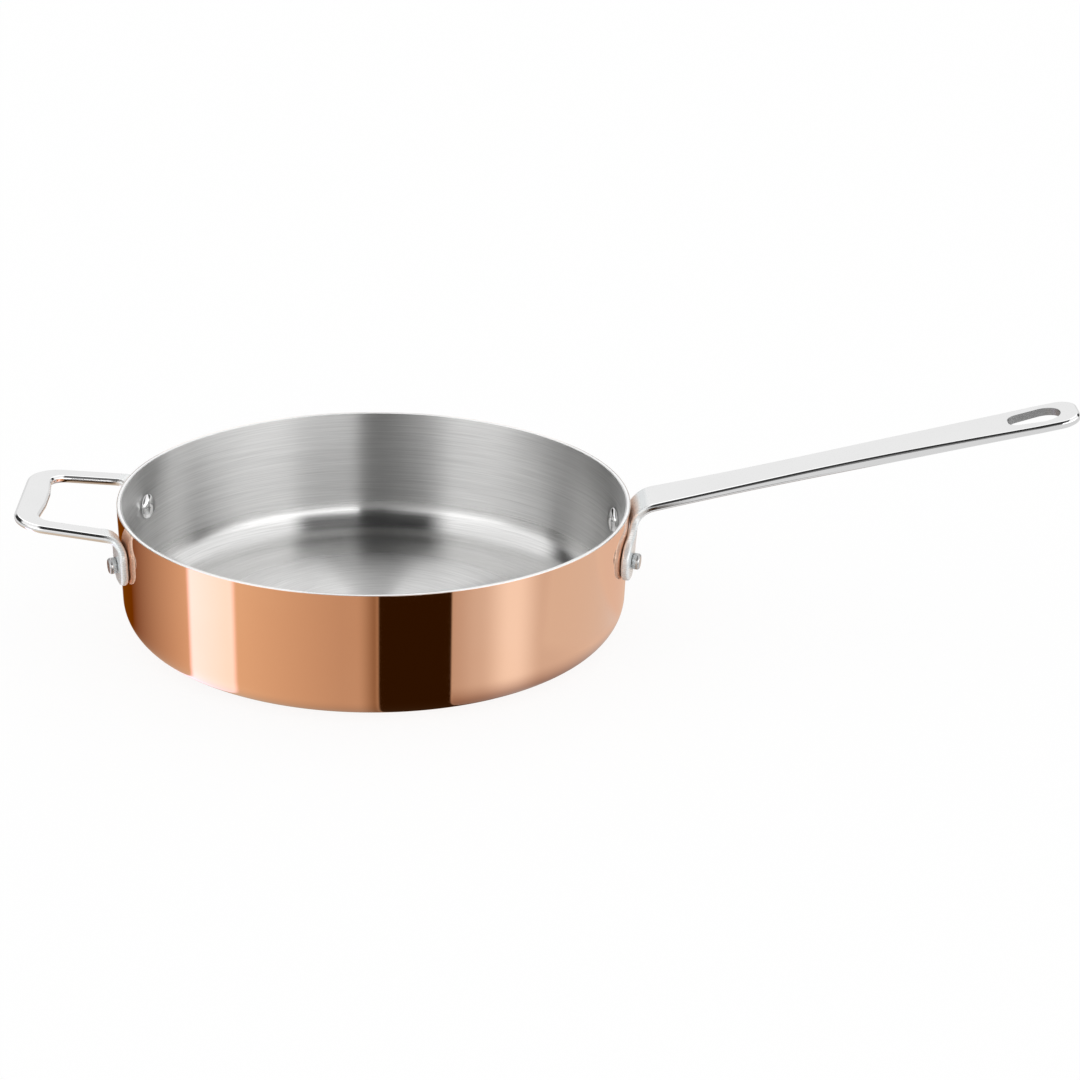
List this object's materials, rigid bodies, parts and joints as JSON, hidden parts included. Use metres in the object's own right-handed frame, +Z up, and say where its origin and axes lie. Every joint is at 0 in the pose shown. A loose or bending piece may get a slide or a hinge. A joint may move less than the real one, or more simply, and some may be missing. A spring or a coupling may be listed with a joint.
{
  "type": "saute pan",
  "caption": "Copper-clad saute pan: a round straight-sided body lined with steel, a long rising strap handle with a hanging slot, and a small helper loop opposite, all riveted on.",
  "frame": {"origin": "centre of the flat underside of the base, where the pan rests", "axes": "+X along the long handle, +Z up out of the pan, +Y completes the right-handed set"},
  "size_m": [0.5339, 0.26, 0.12],
  "materials": {
    "copper": "mirror-polished copper",
    "core": "machined at the rim",
    "liner": "satin, brushed round the axis",
    "handle_steel": "polished",
    "rivet_steel": "polished"
  },
  "bodies": {
    "root": {"copper_shell": "copper", "aluminium_core": "core", "steel_liner": "liner", "long_handle": "handle_steel", "helper_handle": "handle_steel", "long_handle_rivet_near": "rivet_steel", "long_handle_rivet_far": "rivet_steel", "helper_handle_rivet_near": "rivet_steel", "helper_handle_rivet_far": "rivet_steel"}
  },
  "joints": []
}
